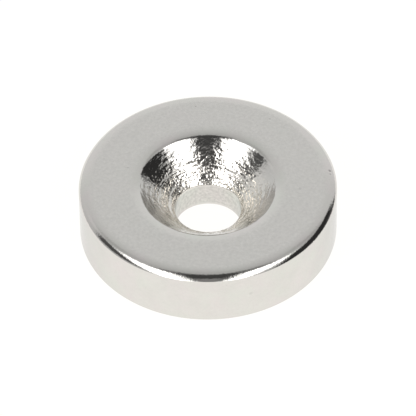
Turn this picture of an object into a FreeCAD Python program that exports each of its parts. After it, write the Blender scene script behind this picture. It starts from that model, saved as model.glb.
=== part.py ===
"""Countersunk ring magnet, one sintered and nickel plated piece.

The ring lies on its flat back, with the mouth of the screw hole facing up.
The origin is the centre of the back face and +Z runs along the hole, out of its mouth.
Sizes are in millimetres and angles in degrees.
"""

import FreeCAD, Part
import math
import os

# Ring
OUTER_DIAMETER = 20.0
THICKNESS = 5.0

# Screw hole, for an M5 screw: the pressed cone is a little wider than the 90 degree head that seats in it
BORE_DIAMETER = 5.15
SINK_DIAMETER = 11.1        # where the cone would meet the front face if the lip were sharp
SINK_ANGLE = 94.0           # full angle of the cone
LIP_RADIUS = 1.65           # soft roll from the front face down into the cone
THROAT_RADIUS = 0.12        # where the cone meets the straight bore
BORE_EXIT_RADIUS = 0.15     # where the bore leaves through the back face

# Outer rims: tumbling crowns each face edge, and the ground wall then cuts the crown off at a crease
FRONT_RIM_WIDTH = 0.87      # across the front face, from the wall to where the face turns flat
FRONT_RIM_DROP = 0.53       # down the wall, from the front face to the crease
BACK_RIM_WIDTH = 0.55
BACK_RIM_DROP = 0.3


def section_point(across, height):
    """A point of the half section, which lies in the XZ plane."""
    return FreeCAD.Vector(across, 0, height)


def fillet_arc(before, corner, after, radius):
    """The arc of the given radius that touches both straight sides of a corner."""
    towards_before = (before - corner).normalize()
    towards_after = (after - corner).normalize()
    half_angle = towards_before.getAngle(towards_after) / 2
    bisector = (towards_before + towards_after).normalize()
    setback = radius / math.tan(half_angle)
    centre = corner + bisector * (radius / math.sin(half_angle))
    start = corner + towards_before * setback
    middle = centre - bisector * radius
    end = corner + towards_after * setback
    return Part.Arc(start, middle, end)


def rim_points(width, drop, face_height, inward):
    """Start, middle and end of a crown: it leaves the face smoothly and ends at the wall's crease.

    inward is -1 where the ring lies below the face and +1 where it lies above it.
    """
    radius = (width ** 2 + drop ** 2) / (2 * drop)
    centre = section_point(OUTER_DIAMETER / 2 - width, face_height + inward * radius)
    turn = math.atan2(width, radius - drop)
    points = []
    for angle in (0, turn / 2, turn):
        outward = section_point(math.sin(angle), -inward * math.cos(angle))
        points.append(centre + outward * radius)
    return points


def section_arcs():
    """The arcs of the half section, in the order in which its outline passes them."""
    outer = OUTER_DIAMETER / 2
    bore = BORE_DIAMETER / 2
    mouth = SINK_DIAMETER / 2
    sink_depth = (mouth - bore) / math.tan(math.radians(SINK_ANGLE / 2))
    exit_corner = section_point(bore, 0)
    back_corner = section_point(outer, 0)
    front_corner = section_point(outer, THICKNESS)
    lip_corner = section_point(mouth, THICKNESS)
    throat_corner = section_point(bore, THICKNESS - sink_depth)
    back_face_end, back_middle, back_crease = rim_points(BACK_RIM_WIDTH, BACK_RIM_DROP, 0, 1)
    front_face_end, front_middle, front_crease = rim_points(
        FRONT_RIM_WIDTH, FRONT_RIM_DROP, THICKNESS, -1
    )
    return [
        fillet_arc(throat_corner, exit_corner, back_corner, BORE_EXIT_RADIUS),
        Part.Arc(back_face_end, back_middle, back_crease),
        Part.Arc(front_crease, front_middle, front_face_end),
        fillet_arc(front_corner, lip_corner, throat_corner, LIP_RADIUS),
        fillet_arc(lip_corner, throat_corner, exit_corner, THROAT_RADIUS),
    ]


def half_section():
    """The closed half section: each arc, then the straight side that leads to the next arc."""
    arcs = section_arcs()
    edges = []
    for arc, following in zip(arcs, arcs[1:] + arcs[:1]):
        edges.append(arc.toShape())
        edges.append(Part.LineSegment(arc.EndPoint, following.StartPoint).toShape())
    return Part.Face(Part.Wire(edges))


def ring_magnet():
    """The whole ring: its half section turned once round the hole's axis."""
    origin = FreeCAD.Vector(0, 0, 0)
    hole_axis = FreeCAD.Vector(0, 0, 1)
    return half_section().revolve(origin, hole_axis, 360)


def main():
    os.makedirs("parts", exist_ok=True)
    magnet = ring_magnet()
    box = magnet.optimalBoundingBox()
    print("ring_magnet: valid", magnet.isValid(), "solids", len(magnet.Solids))
    print("across", round(box.XLength, 3), "thick", round(box.ZLength, 3), "volume", round(magnet.Volume, 2))
    magnet.exportStep("parts/ring_magnet.step")


main()
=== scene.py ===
"""Looks of a countersunk ring magnet: one plated ring lying flat on a white table.

The ring is a half section turned round the Z axis, with its turning marks and grain worked into the mesh.
One nickel material covers it, and point attributes say how far each zone is satin, ground, turned or drilled.
Everything is in metres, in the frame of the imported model: the origin is the centre of the back face.
"""

import math

import bpy
import numpy as np
from bpy.props import FloatProperty, FloatVectorProperty, IntProperty, PointerProperty
from mathutils import Matrix, Vector


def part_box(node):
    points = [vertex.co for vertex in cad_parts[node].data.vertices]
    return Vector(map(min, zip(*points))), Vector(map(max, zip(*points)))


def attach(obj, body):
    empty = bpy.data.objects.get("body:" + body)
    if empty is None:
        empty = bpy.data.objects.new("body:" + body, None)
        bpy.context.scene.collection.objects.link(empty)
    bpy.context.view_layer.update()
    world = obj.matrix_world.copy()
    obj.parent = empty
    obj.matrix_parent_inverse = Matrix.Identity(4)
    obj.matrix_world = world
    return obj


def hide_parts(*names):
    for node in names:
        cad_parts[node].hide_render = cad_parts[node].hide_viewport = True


bl_info = {
    "name": "Countersunk Ring Magnet",
    "version": (1, 0, 0),
    "blender": (4, 5, 0),
    "location": "View3D > Sidebar > Ring Magnet",
    "description": "Builds a nickel plated countersunk ring magnet and a plain white studio for it",
    "category": "Add Mesh",
}

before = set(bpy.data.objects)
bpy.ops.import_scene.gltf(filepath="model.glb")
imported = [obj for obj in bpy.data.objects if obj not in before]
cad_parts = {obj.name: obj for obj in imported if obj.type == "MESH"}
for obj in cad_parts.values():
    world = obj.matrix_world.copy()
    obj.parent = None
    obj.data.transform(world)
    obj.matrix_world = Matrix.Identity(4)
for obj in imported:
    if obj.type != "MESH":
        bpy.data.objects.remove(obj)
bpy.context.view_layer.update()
NODE = "ring_magnet"
NODE_LOW, NODE_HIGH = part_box(NODE)
MM = 0.001


# Sizes and finishes that a user may change


def length(name, description, millimetres, least=0):
    """A length property whose default and least value are given in millimetres."""
    return FloatProperty(
        name=name, description=description, default=millimetres * MM, min=least * MM, precision=5, unit="LENGTH"
    )


def angle(name, description, degrees, least=-90, most=90):
    """An angle property given in degrees."""
    return FloatProperty(
        name=name,
        description=description,
        default=math.radians(degrees),
        min=math.radians(least),
        max=math.radians(most),
        subtype="ANGLE",
    )


def power(name, description, default):
    """A plain number property for the power by which a roll starts."""
    return FloatProperty(name=name, description=description, default=default, min=1, max=4)


def colour_property(name, description, default):
    return FloatVectorProperty(name=name, description=description, default=default, subtype="COLOR", min=0, max=1)


def share_property(name, description, default):
    return FloatProperty(name=name, description=description, default=default, min=0, max=1, subtype="FACTOR")


class RingMagnetShape(bpy.types.PropertyGroup):
    """Sizes of the ring and of the relief in its cone"""

    outer_radius: length("Outer Radius", "Radius of the ground wall", NODE_HIGH.x / MM)
    thickness: length("Thickness", "From the back face to the front face", (NODE_HIGH.z - NODE_LOW.z) / MM)
    bore_radius: length("Bore Radius", "Radius of the straight screw hole", 2.575)
    mouth_radius: length("Mouth Radius", "Where the cone would meet the front face", 5.55)
    sink_angle: angle("Countersink Angle", "Full angle of the cone", 94, 60, 120)
    lip_length: length("Lip Length", "Roll from the front face into the cone, along the surface", 1.5)
    lip_softness: power("Lip Softness", "How softly the lip leaves the front face, 1 for a plain arc", 2.8)
    cone_bulge: length("Cone Bulge", "How far the cone stands out from a straight line at the most", 0.035)
    throat_radius: length("Throat Radius", "Break between the cone and the bore", 0.12)
    exit_radius: length("Exit Radius", "Break between the bore and the back face", 0.15)
    front_rim_width: length("Front Rim Width", "Crowned part of the front face", 0.87)
    front_rim_drop: length("Front Rim Drop", "From the front face down to the crease", 0.53)
    front_rim_softness: power("Front Rim Softness", "How softly the rim leaves the front face", 1.5)
    back_rim_width: length("Back Rim Width", "Crowned part of the back face", 0.55)
    back_rim_drop: length("Back Rim Drop", "From the back face up to the crease", 0.3)
    crease_radius: length("Crease Radius", "Tiny break where a crown meets the wall", 0.035)
    mark_pitch: length("Turning Mark Pitch", "Distance between the marks left in the cone", 0.16)
    mark_height: length("Turning Mark Height", "Height of the marks in the cone", 0.019)
    grain_size: length("Grain Size", "Size of the sintered grain in the cone", 0.085)
    grain_height: length("Grain Height", "Height of the grain in the cone", 0.007)
    pit_size: length("Pit Size", "Size of the scattered pits in the cone", 0.1)
    pit_depth: length("Pit Depth", "Depth of the scattered pits in the cone", 0.018)
    steps_round: IntProperty(name="Steps Round", description="Points round the axis", default=520, min=32)


class RingMagnetFinish(bpy.types.PropertyGroup):
    """Colours and roughness of the plating, with painted shade in the bore and painted light low in the cone"""

    nickel: colour_property("Nickel", "Colour of the bright plating", (0.745, 0.728, 0.7))
    # Painted shade: the bore's darker colour stands in for the ring's shadow on the table, which the bore mirrors.
    bore_painted_shade: colour_property("Bore Painted Shade", "Colour of the plating in the bore", (0.663, 0.656, 0.622))
    # Painted light: the throat's bright warm colour, brighter than the nickel, stands in for light that the low cone
    # reflects.
    throat_painted_light: colour_property("Throat Painted Light", "Colour of the plating low in the cone", (0.97, 0.935, 0.875))
    edge_tint: colour_property("Edge Tint", "Strength of the reflection at a glancing angle", (0.865, 0.87, 0.875))
    tarnish: colour_property("Tarnish", "Colour of the dark specks and stains", (0.16, 0.15, 0.14))
    rim_roughness: share_property("Rim Roughness", "Roughness of the tumbled rims and lip", 0.07)
    face_roughness: share_property("Face Roughness", "Roughness of the flat faces", 0.2)
    wall_roughness: share_property("Wall Roughness", "Roughness of the ground wall", 0.14)
    cone_roughness: share_property("Cone Roughness", "Roughness of the turned cone below the lip", 0.07)
    throat_roughness: share_property("Throat Roughness", "Roughness of the turned cone at the throat", 0.09)
    bore_roughness: share_property("Bore Roughness", "Roughness of the drilled bore", 0.22)


class RingMagnetStage(bpy.types.PropertyGroup):
    """Sizes of the table and place of the camera"""

    table_radius: length("Table Radius", "Radius of the white table", 60, 10)
    table_colour: colour_property("Table Colour", "Colour of the table", (0.8, 0.8, 0.8))
    camera_distance: length("Camera Distance", "From the front face to the camera", 450, 100)
    camera_elevation: angle("Camera Elevation", "Height of the view", 45.72)
    camera_roll: angle("Camera Roll", "Tilt of the picture", -0.82)
    camera_lens: FloatProperty(name="Lens", description="Focal length", default=503.2, min=1, unit="CAMERA")


# Shape

# How finely the tilt of a soft roll is summed up
ROLL_STEPS = 800

# Rows of points that each part of the section gets. The small break at a rim's crease comes on top of the rim's own
BREAK_ROWS = 5
BACK_RIM_ROWS, FRONT_RIM_ROWS, LIP_ROWS, THROAT_ROWS, EXIT_ROWS = 9, 23, 24, 6, 6
STRAIGHT_ROWS = [("wall", 7), ("face", 7), ("cone", 85), ("bore", 9), ("back", 6)]
# The zones of the arcs, each of which comes before a straight run
ARC_ZONES = ["rim", "rim", "lip", "throat", "exit"]

# The most that share^2 - share^5 reaches, by which the cone bulges
BULGE_PEAK = 0.326


def arc(centre, radius, first_tilt, last_tilt, steps):
    """Points centre + radius * (sin t, cos t), where the tilt t of the outward normal from +Z runs evenly."""
    tilt = np.radians(np.linspace(first_tilt, last_tilt, steps))
    return np.stack([centre[0] + radius * np.sin(tilt), centre[1] + radius * np.cos(tilt), tilt], axis=1)


def soft_roll(turn, softness, shares):
    """A roll of length 1 away from a flat face, as rows of (across, drop, tilt) at the given shares of its length.

    The tilt is turn * share ** softness, and across and drop are the running sums of its cosine and sine.
    """
    fine = np.linspace(0, 1, ROLL_STEPS + 1)
    tilt = turn * fine**softness
    middle = (tilt[1:] + tilt[:-1]) / 2
    across, drop = (np.concatenate([[0], np.cumsum(wave(middle))]) / ROLL_STEPS for wave in (np.cos, np.sin))
    return np.stack([np.interp(shares, fine, values) for values in (across, drop, tilt)], axis=1)


def crown(shape, face_height, inward, width, drop, softness, steps):
    """A crowned rim and its small break, as tilt runs from 90 degrees on the wall to 0 on the face.

    The crown is a soft roll, drop deep, that turns as far as an arc of this width and drop does.
    The break is an arc that touches the wall and the crown's end. inward is -1 for the front rim, 1 for the back,
    whose points then run from the face to the wall.
    """
    outer, crease = shape.outer_radius, shape.crease_radius
    turn = 2 * math.atan2(drop, width)
    whole = soft_roll(turn, softness, [1.0])[0]
    reach = drop / whole[1]
    setback = crease * math.tan(math.pi / 4 - turn / 2)
    rise = soft_roll(turn, softness, np.linspace(1 - setback / reach, 0, steps + 1)[1:])
    rise[:, :2] *= reach
    rise[:, 0] += outer - whole[0] * reach
    tilt = np.linspace(math.pi / 2, turn, BREAK_ROWS)
    edge = np.stack([outer - crease + crease * np.sin(tilt), drop + setback - crease * np.cos(tilt), tilt], axis=1)
    points = np.concatenate([edge, rise])
    points[:, 1] = face_height + inward * points[:, 1]
    if inward > 0:
        points[:, 2] = math.pi - points[:, 2]
        points = points[::-1]
    return points


def lip_roll(shape):
    """The lip, as a soft roll from the front face that ends on the line of the cone."""
    half_angle = shape.sink_angle / 2
    roll = soft_roll(math.pi / 2 - half_angle, shape.lip_softness, np.linspace(0, 1, LIP_ROWS))
    across, drop = roll[:, 0] * shape.lip_length, roll[:, 1] * shape.lip_length
    start = shape.mouth_radius + across[-1] - drop[-1] * math.tan(half_angle)
    return np.stack([start - across, shape.thickness - drop, -roll[:, 2]], axis=1)


def section_arcs(shape):
    """The curved parts of the half section, each as rows of (radius, height, tilt).

    The throat's arc touches the cone and the bore, and the exit's arc touches the bore and the back face.
    """
    top, bore = shape.thickness, shape.bore_radius
    half_angle = math.degrees(shape.sink_angle) / 2
    throat, leave = shape.throat_radius, shape.exit_radius
    throat_setback = throat * math.tan(math.radians(half_angle) / 2)
    throat_height = top - (shape.mouth_radius - bore) / math.tan(math.radians(half_angle))
    front_width, front_drop = shape.front_rim_width, shape.front_rim_drop
    return [
        crown(shape, 0, 1, shape.back_rim_width, shape.back_rim_drop, 1, BACK_RIM_ROWS),
        crown(shape, top, -1, front_width, front_drop, shape.front_rim_softness, FRONT_RIM_ROWS),
        lip_roll(shape),
        arc((bore + throat, throat_height - throat_setback), throat, half_angle - 90, -90, THROAT_ROWS),
        arc((bore + leave, leave), leave, -90, -180, EXIT_ROWS),
    ]


def half_section(shape):
    """The closed outline of the half section as rows of (radius, height, tilt), and the zone of each row.

    It runs outwards over the back face, up the wall, inwards over the front face and down the cone and bore, as
    each arc and then the straight run to the next one. The cone's run bulges along its normal by share^2 - share^5,
    where share is how far down its length a point lies, so it steepens towards the bore.
    """
    arcs = section_arcs(shape)
    rows, zones = [], []
    for index, (zone, steps) in enumerate(STRAIGHT_ROWS):
        start, following = arcs[index][-1], arcs[(index + 1) % len(arcs)][0]
        share = np.arange(1, steps + 1)[:, None] / (steps + 1)
        run = start + (following - start) * share
        run[:, 2] = start[2]
        if zone == "cone":
            bulge = (share**2 - share**5) / BULGE_PEAK * shape.cone_bulge
            run[:, :2] += bulge * [math.sin(start[2]), math.cos(start[2])]
        rows += [arcs[index], run]
        zones += [ARC_ZONES[index]] * len(arcs[index]) + [zone] * steps
    return np.concatenate(rows), np.array(zones)


def smooth_noise(turns, distance, cells_round, cell_length, seed):
    """Soft random heights from -1 to 1: random values at the corners of a lattice that closes round the axis,
    blended between the corners by the step 3t^2 - 2t^3."""
    cells_along = int(distance.max() / cell_length) + 2
    lattice = np.random.default_rng(seed).uniform(-1, 1, (cells_along + 1, cells_round))
    across = turns * cells_round
    along = distance / cell_length
    column, row = np.floor(across).astype(int), np.floor(along).astype(int)
    u, v = across - column, along - row
    u, v = u * u * (3 - 2 * u), v * v * (3 - 2 * v)
    left, right = column % cells_round, (column + 1) % cells_round
    low = lattice[row, left] * (1 - u) + lattice[row, right] * u
    high = lattice[row + 1, left] * (1 - u) + lattice[row + 1, right] * u
    return low * (1 - v) + high * v


def ease(value, low, high):
    """Smooth step 3t^2 - 2t^3 of the value's share between low and high."""
    share = np.clip((value - low) / (high - low), 0, 1)
    return share * share * (3 - 2 * share)


# Layers of the sintered grain: strength, how much wider round and longer down the cone than its size, and seed
GRAIN_LAYERS = [
    (0.5, 1, 1, 11),
    (1.1, 3.2, 2.2, 12),
]
# Layers of the turning marks: strength, arcs in one turn, width in pitches, and seed
MARK_LAYERS = [
    (1, 21, 0.65, 5),
    (1.6, 10, 1.7, 3),
    (2.2, 7, 3.4, 4),
]
PIT_SEED = 21
# The heights of the pit noise where a pit starts and where it is full
PIT_START, PIT_FULL = 0.25, 0.8
# How each kind of relief grows: its share at the lip, what is added by the throat, and the depths between which
GRAIN_GROWTH = (0.8, 1.1, 0.1, 0.6)
PIT_GROWTH = (0.3, 0.75, 0.04, 0.6)
MARK_GROWTH = (0.1, 0.9, 0.15, 0.8)


def growth(depth, at_lip, added, start, end):
    """at_lip plus the added share, which comes in by a smooth step of the depth from start to end."""
    return at_lip + added * ease(depth, start, end)


def cone_relief(shape, turns, distance, depth):
    """Height of the relief in the cone, whose depth runs from 0 at the lip to 1 at the throat.

    It is sintered grain, less scattered pits, plus broken arcs round the axis from the turning tool. Grain and arcs
    are weighted sums of noises, and the pits are the high parts of a noise. All of them grow towards the throat.
    """
    around = math.pi * (shape.mouth_radius + shape.bore_radius)
    cells = int(around / shape.grain_size)
    grain = sum(
        strength * smooth_noise(turns, distance, int(cells / wider), shape.grain_size * longer, seed)
        for strength, wider, longer, seed in GRAIN_LAYERS
    )
    pit_noise = smooth_noise(turns, distance, int(around / shape.pit_size), shape.pit_size, PIT_SEED)
    pits = ease(pit_noise, PIT_START, PIT_FULL)
    marks = sum(
        strength * smooth_noise(turns, distance, arcs_round, shape.mark_pitch * pitches, seed)
        for strength, arcs_round, pitches, seed in MARK_LAYERS
    )
    grain *= shape.grain_height * growth(depth, *GRAIN_GROWTH)
    pits *= shape.pit_depth * growth(depth, *PIT_GROWTH)
    marks *= shape.mark_height * growth(depth, *MARK_GROWTH)
    return grain - pits + marks


# Tilts of the lip between which the turned finish comes in
TURNED_START, TURNED_FULL = math.radians(20), math.radians(43)
# What is left of the turned finish at the end of the throat
TURNED_LEFT = 0.1
# Depth in the cone from which it counts as fully deep
DEEP_FULL = 0.75
# Tilt at which the satin of a flat face has faded out on the lip or rim beside it
SATIN_END = math.radians(12)


def cone_depth(zones):
    """How deep in the cone each row lies: from 0 at the lip to 1 at the throat, and 0 outside it."""
    depth = (zones == "throat").astype(float)
    cone = zones == "cone"
    depth[cone] = np.linspace(0, 1, cone.sum())
    return depth


def zone_weights(zones, tilt, depth):
    """How far each row of the section shows each finish, from 0 to 1.

    The turned finish comes in over the lip by a smooth step of its tilt and fades out evenly over the throat. The
    satin of the flat faces fades out evenly with the tilt, and the rest of the lip and the rims is rolled.
    """
    cone, throat, lip, rim = (zones == name for name in ("cone", "throat", "lip", "rim"))
    turned = cone.astype(float)
    turned[lip] = ease(-tilt[lip], TURNED_START, TURNED_FULL)
    turned[throat] = np.linspace(1, TURNED_LEFT, throat.sum())
    satin = np.isin(zones, ["face", "back"]).astype(float)
    satin[lip] = np.clip(1 + tilt[lip] / SATIN_END, 0, 1)
    face_tilt = np.minimum(tilt[rim], math.pi - tilt[rim])
    satin[rim] = np.clip(1 - face_tilt / SATIN_END, 0, 1)
    return {
        "turned": turned,
        "satin": satin,
        "ground": (zones == "wall").astype(float),
        "drilled": (zones == "bore").astype(float),
        "deep": ease(depth, 0, DEEP_FULL) * turned,
        "rolled": np.clip((rim | lip) - satin - turned, 0, 1),
    }


def ring_mesh(shape):
    """The ring: each row of the half section turned round Z as radius * (cos a, sin a), plus the relief
    pushed out along the normal. The grid closes both round the axis and round the section.

    Each point keeps its row's finish weights and its distance along the section in millimetres as attributes.
    """
    section, zones = half_section(shape)
    radius, height, tilt = (column[:, None] for column in section.T)
    step = np.hypot(np.diff(section[:, 0], append=section[0, 0]), np.diff(section[:, 1], append=section[0, 1]))
    distance = np.concatenate([[0], np.cumsum(step)[:-1]])
    depth = cone_depth(zones)
    weights = zone_weights(zones, section[:, 2], depth)

    rounds = shape.steps_round
    turns = (np.arange(rounds) / rounds)[None, :]
    around = 2 * math.pi * turns
    relief = cone_relief(shape, turns, distance[:, None], depth[:, None])
    push = relief * weights["turned"][:, None]
    r = radius + push * np.sin(tilt)
    z = height + push * np.cos(tilt)
    points = np.stack([r * np.cos(around), r * np.sin(around), z], axis=-1)

    index = np.arange(len(section) * rounds).reshape(len(section), rounds)
    ahead, above = np.roll(index, -1, axis=1), np.roll(index, -1, axis=0)
    quads = np.stack([index, ahead, np.roll(ahead, -1, axis=0), above], axis=-1).reshape(-1, 4)

    mesh = bpy.data.meshes.new("ring_magnet_plate")
    mesh.from_pydata(points.reshape(-1, 3), [], quads)
    mesh.polygons.foreach_set("use_smooth", np.ones(len(quads), bool))
    weights["along"] = distance / MM
    for name, values in weights.items():
        attribute = mesh.attributes.new(name, "FLOAT", "POINT")
        attribute.data.foreach_set("value", np.repeat(values, rounds).astype(np.float32))
    mesh.update()
    return mesh


# Nodes

NUMBER, VECTOR, COLOUR = "NodeSocketFloat", "NodeSocketVector", "NodeSocketColor"


def put(tree, kind, inputs=None, **settings):
    """Adds a node, sets its settings and fills its inputs from values or from other nodes' outputs."""
    node = tree.nodes.new(kind)
    for name, value in settings.items():
        setattr(node, name, value)
    for name, value in (inputs or {}).items():
        if isinstance(value, bpy.types.NodeSocket):
            tree.links.new(value, node.inputs[name])
        else:
            node.inputs[name].default_value = value
    return node


def put_group(tree, group, inputs):
    """Places a node group, fills its inputs and gives its outputs."""
    return put(tree, "ShaderNodeGroup", inputs, node_tree=group).outputs


def calculate(tree, operation, *values):
    """A Math node on one, two or three values."""
    return put(tree, "ShaderNodeMath", dict(enumerate(values)), operation=operation).outputs[0]


def mix(tree, share, first, second, **settings):
    """The first colour led towards the second one by a share."""
    return put(tree, "ShaderNodeMix", {0: share, 6: first, 7: second}, data_type="RGBA", **settings).outputs[2]


def smooth_step(tree, value, start, end):
    """0 up to the start and 1 from the end on, with a smooth step 3t^2 - 2t^3 between them."""
    inputs = {"Value": value, "From Min": start, "From Max": end}
    return put(tree, "ShaderNodeMapRange", inputs, interpolation_type="SMOOTHSTEP").outputs[0]


def centred_noise(tree, place, scale, detail, swing=1.0):
    """Soft noise that runs from -swing to swing at the most."""
    noise = put(tree, "ShaderNodeTexNoise", {"Vector": place, "Scale": scale, "Detail": detail}).outputs["Fac"]
    return calculate(tree, "MULTIPLY_ADD", noise, 2.0 * swing, -swing)


def new_group(name, inputs, outputs):
    """A shader node group with named sockets, and the sockets that it is given and that it puts out."""
    group = bpy.data.node_groups.new(name, "ShaderNodeTree")
    for label, kind, value in inputs:
        socket = group.interface.new_socket(label, in_out="INPUT", socket_type=kind)
        socket.default_value = value
    for label, kind in outputs:
        group.interface.new_socket(label, in_out="OUTPUT", socket_type=kind)
    return group, group.nodes.new("NodeGroupInput").outputs, group.nodes.new("NodeGroupOutput").inputs


def grain_group():
    """Height of an even grain: soft noise of the given grain size, from -1 to 1 times the height."""
    inputs = [("Place", VECTOR, (0, 0, 0)), ("Size", NUMBER, 0.1), ("Height", NUMBER, 0.001)]
    group, given, result = new_group("Grain", inputs, [("Height", NUMBER)])
    scale = calculate(group, "DIVIDE", 1.0, given["Size"])
    noise = centred_noise(group, given["Place"], scale, 2.0)
    group.links.new(calculate(group, "MULTIPLY", noise, given["Height"]), result["Height"])
    return group


# How fast the noise of the fine arcs changes round the axis, per millimetre
ARC_RATE = 0.9


def arcs_group():
    """Height of fine arcs that follow the surface round the axis: noise that is long round the axis and
    short along the section, from -1 to 1 times the height."""
    inputs = [
        ("Place", VECTOR, (0, 0, 0)),
        ("Along", NUMBER, 0.0),
        ("Spacing", NUMBER, 0.1),
        ("Height", NUMBER, 0.001),
    ]
    group, given, result = new_group("Turned Arcs", inputs, [("Height", NUMBER)])
    parts = put(group, "ShaderNodeSeparateXYZ", {"Vector": given["Place"]}).outputs
    lines = calculate(group, "DIVIDE", given["Along"], given["Spacing"])
    slow_x, slow_y = (calculate(group, "MULTIPLY", parts[axis], ARC_RATE) for axis in "XY")
    place = put(group, "ShaderNodeCombineXYZ", {"X": slow_x, "Y": slow_y, "Z": lines}).outputs[0]
    noise = centred_noise(group, place, 1.0, 1.0)
    group.links.new(calculate(group, "MULTIPLY", noise, given["Height"]), result["Height"])
    return group


# The two tones of the plating: the place of each on the noise from 0 to 1, and what it leaves of the colour
GREENISH_TONE = (0.3, (0.975, 1.0, 0.975, 1))
PINKISH_TONE = (0.7, (1.0, 0.972, 0.985, 1))


def tone_group():
    """Large faint clouds that multiply the colour by a greenish and a pinkish tone."""
    inputs = [
        ("Place", VECTOR, (0, 0, 0)),
        ("Colour", COLOUR, (0.8, 0.8, 0.8, 1)),
        ("Cloud Size", NUMBER, 2.0),
        ("Amount", NUMBER, 1.0),
    ]
    group, given, result = new_group("Plating Tone", inputs, [("Colour", COLOUR)])
    scale = calculate(group, "DIVIDE", 1.0, given["Cloud Size"])
    noise = put(group, "ShaderNodeTexNoise", {"Vector": given["Place"], "Scale": scale, "Detail": 3.0})
    ramp = put(group, "ShaderNodeValToRGB", {"Fac": noise.outputs["Fac"]})
    for element, (position, tone) in zip(ramp.color_ramp.elements, (GREENISH_TONE, PINKISH_TONE)):
        element.position, element.color = position, tone
    tinted = mix(group, given["Amount"], given["Colour"], ramp.outputs["Color"], blend_type="MULTIPLY")
    group.links.new(tinted, result["Colour"])
    return group


def mottle_group():
    """Small clouds that make the plating lighter and darker: the colour times 1 plus a share of soft noise."""
    inputs = [
        ("Place", VECTOR, (0, 0, 0)),
        ("Colour", COLOUR, (0.8, 0.8, 0.8, 1)),
        ("Size", NUMBER, 0.3),
        ("Share", NUMBER, 0.02),
    ]
    group, given, result = new_group("Mottle", inputs, [("Colour", COLOUR)])
    scale = calculate(group, "DIVIDE", 1.0, given["Size"])
    noise = centred_noise(group, given["Place"], scale, 2.0, swing=2.0)
    factor = calculate(group, "MULTIPLY_ADD", noise, given["Share"], 1.0)
    scaled = put(group, "ShaderNodeVectorMath", {0: given["Colour"], "Scale": factor}, operation="SCALE")
    group.links.new(scaled.outputs[0], result["Colour"])
    return group


# How far out from a pit's centre it stays full, as a share of its radius
PIT_CORE = 0.3


def pit_group():
    """Mask of a small round pit: 1 round its centre, falling by a smooth step to 0 at its radius."""
    inputs = [("Place", VECTOR, (0, 0, 0)), ("Centre", VECTOR, (0, 0, 0)), ("Radius", NUMBER, 0.1)]
    group, given, result = new_group("Pit", inputs, [("Mask", NUMBER)])
    apart = put(group, "ShaderNodeVectorMath", {0: given["Place"], 1: given["Centre"]}, operation="DISTANCE")
    share = calculate(group, "DIVIDE", apart.outputs["Value"], given["Radius"])
    group.links.new(smooth_step(group, share, 1.0, PIT_CORE), result["Mask"])
    return group


# Nickel plating. Sizes and heights are in millimetres

# Fine mottle: its size, the share of the colour that it swings by, and what the satin faces and the bore add to that
MOTTLE_SIZE, MOTTLE_SHARE, SATIN_MOTTLE, BORE_MOTTLE = 0.22, 0.015, 0.035, 0.11
# Broad mottle of the wall: its size and its share
WALL_MOTTLE_SIZE, WALL_MOTTLE_SHARE = 1.6, 0.025
# Large clouds of tone: their size, and how much less of them the satin and turned zones show
CLOUD_SIZE, CLOUDS_LESS = 2.2, 0.8

# Bumps: zone or None for everywhere, pattern, size and height
BUMPS = [
    (None, "grain", 0.12, 0.0016),
    ("satin", "grain", 0.16, 0.001),
    ("rolled", "grain", 0.13, 0.0035),
    ("turned", "grain", 0.06, 0.0018),
    ("deep", "grain", 0.1, 0.006),
    ("turned", "arcs", 0.07, 0.002),
    ("drilled", "arcs", 0.09, 0.0016),
]

# Small blemishes: centre, radius, how dark from 0 to 1, and how deep, where a bump has less than 0
BLEMISHES = [
    # the nick in the right rim, with its raised burr
    ((9.49, 1.28, 4.89), 0.17, 0.5, 0.02),
    ((9.49, 1.02, 4.89), 0.13, 0.0, -0.03),
    # specks in the far part of the front face
    ((-0.86, 8.44, 5.0), 0.1, 0.3, 0.004),
    ((4.94, 6.94, 5.0), 0.1, 0.3, 0.004),
    # bright bumps on the front face
    ((-6.16, 1.92, 5.0), 0.13, 0.0, -0.03),
    ((7.13, -0.66, 5.0), 0.13, 0.0, -0.03),
    # stains on the wall
    ((3.18, -9.48, 2.6), 0.2, 0.1, 0.0),
    ((1.33, -9.91, 3.98), 0.14, 0.06, 0.0),
]


def plating_colour(tree, place, weight, finish):
    """Colour of the plating: the bore's painted shade and the throat's painted light by their weights, then mottle
    and clouds of tone.
    """
    colour = (*finish.nickel, 1)
    # The bore's colour mixed in here is painted shade, and the throat's is painted light.
    for name, plating in (("drilled", finish.bore_painted_shade), ("deep", finish.throat_painted_light)):
        colour = mix(tree, weight[name], colour, (*plating, 1))
    fine_share = calculate(tree, "MULTIPLY_ADD", weight["drilled"], BORE_MOTTLE, MOTTLE_SHARE)
    fine_share = calculate(tree, "MULTIPLY_ADD", weight["satin"], SATIN_MOTTLE, fine_share)
    wall_share = calculate(tree, "MULTIPLY", weight["ground"], WALL_MOTTLE_SHARE)
    mottle = mottle_group()
    for size, share in ((MOTTLE_SIZE, fine_share), (WALL_MOTTLE_SIZE, wall_share)):
        inputs = {"Place": place, "Colour": colour, "Size": size, "Share": share}
        colour = put_group(tree, mottle, inputs)["Colour"]
    plain = calculate(tree, "ADD", weight["satin"], weight["turned"])
    amount = calculate(tree, "MULTIPLY_ADD", plain, -CLOUDS_LESS, 1.0)
    inputs = {"Place": place, "Colour": colour, "Cloud Size": CLOUD_SIZE, "Amount": amount}
    return put_group(tree, tone_group(), inputs)["Colour"]


def plating_roughness(tree, weight, finish):
    """Roughness of the rims plus each zone's weight times how much rougher that zone is."""
    roughness = finish.rim_roughness
    for name, rougher in (
        ("satin", finish.face_roughness - finish.rim_roughness),
        ("ground", finish.wall_roughness - finish.rim_roughness),
        ("turned", finish.cone_roughness - finish.rim_roughness),
        ("drilled", finish.bore_roughness - finish.rim_roughness),
        ("deep", finish.throat_roughness - finish.cone_roughness),
    ):
        roughness = calculate(tree, "MULTIPLY_ADD", weight[name], rougher, roughness)
    return roughness


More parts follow.
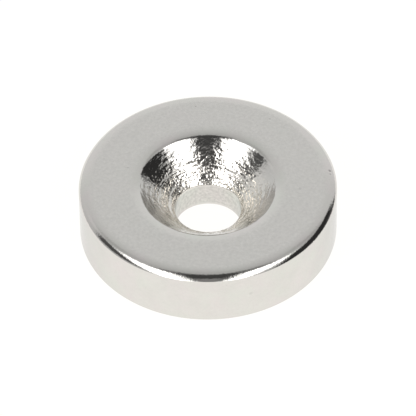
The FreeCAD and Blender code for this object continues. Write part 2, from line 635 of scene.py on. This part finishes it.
def plating_height(tree, place, weight):
    """Height of the plating's fine bumps: the sum of each pattern times the weight of its zone."""
    patterns = {"grain": (grain_group(), {}, "Size"), "arcs": (arcs_group(), {"Along": weight["along"]}, "Spacing")}
    total = 0.0
    for zone, pattern, size, height in BUMPS:
        group, extra, label = patterns[pattern]
        bumps = put_group(tree, group, {"Place": place, label: size, "Height": height, **extra})["Height"]
        total = calculate(tree, "MULTIPLY_ADD", bumps, weight[zone] if zone else 1.0, total)
    return total


def nickel_material(finish):
    """Bright nickel plate: satin faces, a ground wall, shiny rims, a turned grainy cone and a drilled bore."""
    material = bpy.data.materials.new("Bright nickel plate")
    material.use_nodes = True
    tree = material.node_tree
    shader = tree.nodes["Principled BSDF"]
    shader.inputs["Metallic"].default_value = 1.0
    shader.inputs["Specular Tint"].default_value = (*finish.edge_tint, 1)

    metres = put(tree, "ShaderNodeTexCoord").outputs["Object"]
    place = put(tree, "ShaderNodeVectorMath", {0: metres, 1: (1 / MM,) * 3}, operation="MULTIPLY").outputs[0]
    weight = {
        name: put(tree, "ShaderNodeAttribute", attribute_name=name).outputs["Fac"]
        for name in ("turned", "deep", "satin", "rolled", "ground", "drilled", "along")
    }
    colour = plating_colour(tree, place, weight, finish)
    roughness = plating_roughness(tree, weight, finish)
    height = plating_height(tree, place, weight)

    pit = pit_group()
    for centre, radius, darkness, depth in BLEMISHES:
        mask = put_group(tree, pit, {"Place": place, "Centre": centre, "Radius": radius})["Mask"]
        colour = mix(tree, calculate(tree, "MULTIPLY", mask, darkness), colour, (*finish.tarnish, 1))
        height = calculate(tree, "MULTIPLY_ADD", mask, -depth, height)

    in_metres = calculate(tree, "MULTIPLY", height, MM)
    bump = put(tree, "ShaderNodeBump", {"Strength": 1.0, "Distance": 1.0, "Height": in_metres})
    tree.links.new(colour, shader.inputs["Base Color"])
    tree.links.new(roughness, shader.inputs["Roughness"])
    tree.links.new(bump.outputs["Normal"], shader.inputs["Normal"])
    return material


# Studio

WHITE = (1, 1, 1, 1)

# Panels round the ring: four corners as (azimuth, elevation) in degrees, edge softness, and brightness
PANELS = [
    # dark band under the ceiling, left and right half, and its darker middle
    ([(-20, 78), (-30, 50), (-62, 50), (-76, 73)], 0.07, 0.22),
    ([(20, 79), (84, 71), (74, 50), (30, 50)], 0.07, 0.24),
    ([(4, 80), (4, 50), (-38, 50), (-44, 76)], 0.07, 0.065),
    ([(-4, 80), (46, 76), (44, 50), (-4, 50)], 0.07, 0.07),
    # dark gap between the two lamps, with a paler patch where the camera stands
    ([(-44, 62), (44, 62), (20, -12), (-24, -12)], 0.04, 0.06),
    ([(-12, 42), (12, 42), (9, 4), (-9, 4)], 0.09, 0.25),
    # greyer walls beside the lamps
    ([(-100, 62), (-122, 62), (-118, 24), (-100, 24)], 0.12, 0.44),
    ([(100, 62), (122, 62), (118, 28), (100, 28)], 0.12, 0.44),
    # brighter spot low on the left wall
    ([(-106, 40), (-125, 38), (-125, 20), (-106, 22)], 0.1, 0.68),
    # dark stands beside the table
    ([(-103, 36), (-78, 37), (-52, 13), (-97, 8)], 0.035, 0.09),
    ([(124, 29), (74, 38), (48, 6), (120, -4)], 0.035, 0.03),
    # low dark strip beyond the table, on the right
    ([(108, 9), (126, 8), (126, -5), (108, -5)], 0.04, 0.1),
    # the two lamps
    ([(-40.5, 57.5), (-80, 51.6), (-87, 45), (-1, -28)], 0.14, 3.2),
    ([(41, 57.5), (77, 50.5), (81.5, 46), (5, -15)], 0.14, 3.2),
]

# Brightness of the room by how far a direction points behind the ring, from 0 at the sides to 1 straight behind
ROOM = [
    (0.03, 0.508),
    (0.292, 0.588),
    (0.559, 0.656),
    (0.643, 0.68),
    (0.707, 0.705),
    (0.755, 0.756),
    (0.819, 0.782),
    (0.99, 0.818),
]
# Its red, green and blue, as shares of that brightness
ROOM_TINT = (0.991, 1.0, 0.999)


def direction(azimuth, elevation):
    """Unit vector towards a point round the ring: azimuth from the camera's side, to the right, in degrees."""
    a, e = math.radians(azimuth), math.radians(elevation)
    return Vector((math.sin(a) * math.cos(e), -math.cos(a) * math.cos(e), math.sin(e)))


def panel_group():
    """Mask of a flat four sided panel as the ring sees it. Each straight side is a plane through the ring,
    so the mask is the product of four smooth steps of the direction's distance from those planes."""
    sides = [(f"Side {number}", VECTOR, (0, 0, 1)) for number in range(1, 5)]
    inputs = [("Direction", VECTOR, (0, 0, 1)), ("Softness", NUMBER, 0.03)] + sides
    group, given, result = new_group("Panel", inputs, [("Mask", NUMBER)])
    start = calculate(group, "MULTIPLY", given["Softness"], -1.0)
    mask = 1.0
    for label, _, _ in sides:
        off = put(group, "ShaderNodeVectorMath", {0: given["Direction"], 1: given[label]}, operation="DOT_PRODUCT")
        step = smooth_step(group, off.outputs["Value"], start, given["Softness"])
        mask = calculate(group, "MULTIPLY", mask, step)
    group.links.new(mask, result["Mask"])
    return group


def panel_sides(corners):
    """The normals of the planes through a panel's sides: each is the cross product of the directions to two
    neighbouring corners, turned towards the panel's middle."""
    ways = [direction(*corner) for corner in corners]
    middle = sum(ways, Vector())
    sides = [way.cross(following).normalized() for way, following in zip(ways, ways[1:] + ways[:1])]
    return [side if side.dot(middle) > 0 else -side for side in sides]


def studio_world():
    """Soft grey room, lighter behind the ring, with two lamps in front and dark gaps round them. The metal
    mirrors it, and the camera sees plain white."""
    world = bpy.data.worlds.new("White studio")
    world.use_nodes = True
    tree = world.node_tree
    tree.nodes.clear()
    towards = put(tree, "ShaderNodeTexCoord").outputs["Generated"]
    behind = put(tree, "ShaderNodeVectorMath", {0: towards, 1: (0, 1, 0)}, operation="DOT_PRODUCT")
    room = put(tree, "ShaderNodeValToRGB", {"Fac": behind.outputs["Value"]})
    elements = room.color_ramp.elements
    elements.remove(elements[1])
    for number, (position, grey) in enumerate(ROOM):
        element = elements.new(position) if number else elements[0]
        element.position, element.color = position, (*(tint * grey for tint in ROOM_TINT), 1)
    colour = room.outputs["Color"]
    panel = panel_group()
    for corners, softness, brightness in PANELS:
        inputs = {"Direction": towards, "Softness": softness}
        for number, side in enumerate(panel_sides(corners), 1):
            inputs[f"Side {number}"] = side
        mask = put_group(tree, panel, inputs)["Mask"]
        colour = mix(tree, mask, colour, (brightness, brightness, brightness, 1))
    seen = put(tree, "ShaderNodeLightPath").outputs["Is Camera Ray"]
    background = put(tree, "ShaderNodeBackground", {"Color": mix(tree, seen, colour, WHITE), "Strength": 1.0})
    output = put(tree, "ShaderNodeOutputWorld")
    tree.links.new(background.outputs[0], output.inputs["Surface"])
    return world


# What the camera and the metal see of the table: a warm white glow, and a little plain white that takes a shadow
TABLE_GLOW, TABLE_GLOW_STRENGTH = (1.0, 0.99, 0.965, 1), 0.98
TABLE_SHADED = (0.08, 0.08, 0.08, 1)
TABLE_SIDES = 128
# Gap between the table and the ring's back face, in millimetres
TABLE_GAP = 0.01


def table_material(stage):
    """White table that looks white to the camera and in the metal, and still takes a faint shadow."""
    material = bpy.data.materials.new("White table")
    material.use_nodes = True
    tree = material.node_tree
    tree.nodes.clear()
    path = put(tree, "ShaderNodeLightPath").outputs
    seen = calculate(tree, "ADD", path["Is Camera Ray"], path["Is Glossy Ray"])
    seen = calculate(tree, "ADD", seen, path["Is Transmission Ray"])
    plain = put(tree, "ShaderNodeBsdfDiffuse", {"Color": (*stage.table_colour, 1)}).outputs[0]
    shaded = put(tree, "ShaderNodeBsdfDiffuse", {"Color": TABLE_SHADED}).outputs[0]
    glow = put(tree, "ShaderNodeEmission", {"Color": TABLE_GLOW, "Strength": TABLE_GLOW_STRENGTH}).outputs[0]
    both = put(tree, "ShaderNodeAddShader", {0: shaded, 1: glow}).outputs[0]
    surface = put(tree, "ShaderNodeMixShader", {0: seen, 1: plain, 2: both}).outputs[0]
    output = put(tree, "ShaderNodeOutputMaterial")
    tree.links.new(surface, output.inputs["Surface"])
    return material


def table_object(stage):
    """A flat round table just under the ring: one fan of triangles round its centre."""
    around = np.linspace(0, 2 * math.pi, TABLE_SIDES, endpoint=False)
    rim = np.stack([np.cos(around), np.sin(around), np.zeros(TABLE_SIDES)], axis=1) * stage.table_radius
    points = np.concatenate([[[0, 0, 0]], rim]) + [0, 0, NODE_LOW.z - TABLE_GAP * MM]
    first = np.arange(1, TABLE_SIDES + 1)
    triangles = np.stack([np.zeros(TABLE_SIDES, int), first, np.roll(first, -1)], axis=1)
    mesh = bpy.data.meshes.new("table")
    mesh.from_pydata(points, [], triangles)
    mesh.materials.append(table_material(stage))
    table = bpy.data.objects.new("table", mesh)
    bpy.context.scene.collection.objects.link(table)
    return table


PICTURE_SIZE = 416
# Where the centre of the front face lies in the picture, in pixels from its middle
FACE_CENTRE_RIGHT, FACE_CENTRE_UP = -0.25, 24.6
# Width of the camera's sensor in millimetres, and the distances in metres between which it sees
SENSOR_WIDTH = 36
NEAREST, FARTHEST = 0.01, 10


def camera_object(stage):
    """The camera stands off the front face's centre at the photograph's height, and looks a little below it."""
    elevation, roll = stage.camera_elevation, stage.camera_roll
    away = Vector((0, -math.cos(elevation), math.sin(elevation)))
    level, upright = Vector((1, 0, 0)), Vector((0, math.sin(elevation), math.cos(elevation)))
    right = level * math.cos(roll) + upright * math.sin(roll)
    up = upright * math.cos(roll) - level * math.sin(roll)
    centre = Vector((0, 0, NODE_HIGH.z))
    eye = centre + away * stage.camera_distance
    pixel = stage.camera_distance * SENSOR_WIDTH / (stage.camera_lens * PICTURE_SIZE)
    target = centre - right * FACE_CENTRE_RIGHT * pixel - up * FACE_CENTRE_UP * pixel
    back = (eye - target).normalized()
    right = up.cross(back).normalized()
    up = back.cross(right)
    camera_data = bpy.data.cameras.new("camera")
    camera_data.lens = stage.camera_lens
    camera_data.sensor_width = SENSOR_WIDTH
    camera_data.clip_start, camera_data.clip_end = NEAREST, FARTHEST
    camera = bpy.data.objects.new("camera", camera_data)
    camera.matrix_world = Matrix.Translation(eye) @ Matrix((right, up, back)).transposed().to_4x4()
    bpy.context.scene.collection.objects.link(camera)
    return camera


# Add-on


class RINGMAGNET_OT_magnet(bpy.types.Operator):
    """Builds the plated ring and its nickel material"""

    bl_idname = "ring_magnet.magnet"
    bl_label = "Ring Magnet"

    def execute(self, context):
        scene = context.scene
        mesh = ring_mesh(scene.ring_magnet_shape)
        mesh.materials.append(nickel_material(scene.ring_magnet_finish))
        ring = bpy.data.objects.new("plated_ring", mesh)
        scene.collection.objects.link(ring)
        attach(ring, "root")
        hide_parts(NODE)
        return {"FINISHED"}


class RINGMAGNET_OT_stage(bpy.types.Operator):
    """Builds the white table, the soft studio light and the camera"""

    bl_idname = "ring_magnet.stage"
    bl_label = "White Studio"

    def execute(self, context):
        scene = context.scene
        stage = scene.ring_magnet_stage
        table_object(stage)
        scene.world = studio_world()
        scene.camera = camera_object(stage)
        scene.view_settings.view_transform = "Standard"
        return {"FINISHED"}


class RINGMAGNET_PT_panel(bpy.types.Panel):
    """Lists the steps of the ring magnet and what a user may change"""

    bl_idname = "RINGMAGNET_PT_panel"
    bl_label = "Ring Magnet"
    bl_space_type = "VIEW_3D"
    bl_region_type = "UI"
    bl_category = "Ring Magnet"

    def draw(self, context):
        scene = context.scene
        for operator in (RINGMAGNET_OT_magnet, RINGMAGNET_OT_stage):
            self.layout.operator(operator.bl_idname)
        for group in (scene.ring_magnet_shape, scene.ring_magnet_finish, scene.ring_magnet_stage):
            column = self.layout.column()
            for name in group.__annotations__:
                column.prop(group, name)


CLASSES = (
    RingMagnetShape,
    RingMagnetFinish,
    RingMagnetStage,
    RINGMAGNET_OT_magnet,
    RINGMAGNET_OT_stage,
    RINGMAGNET_PT_panel,
)


def register():
    for item in CLASSES:
        bpy.utils.register_class(item)
    bpy.types.Scene.ring_magnet_shape = PointerProperty(type=RingMagnetShape)
    bpy.types.Scene.ring_magnet_finish = PointerProperty(type=RingMagnetFinish)
    bpy.types.Scene.ring_magnet_stage = PointerProperty(type=RingMagnetStage)


def unregister():
    del bpy.types.Scene.ring_magnet_stage
    del bpy.types.Scene.ring_magnet_finish
    del bpy.types.Scene.ring_magnet_shape
    for item in reversed(CLASSES):
        bpy.utils.unregister_class(item)


def main():
    register()
    bpy.ops.ring_magnet.magnet()
    bpy.ops.ring_magnet.stage()


if __name__ == "__main__":
    main()
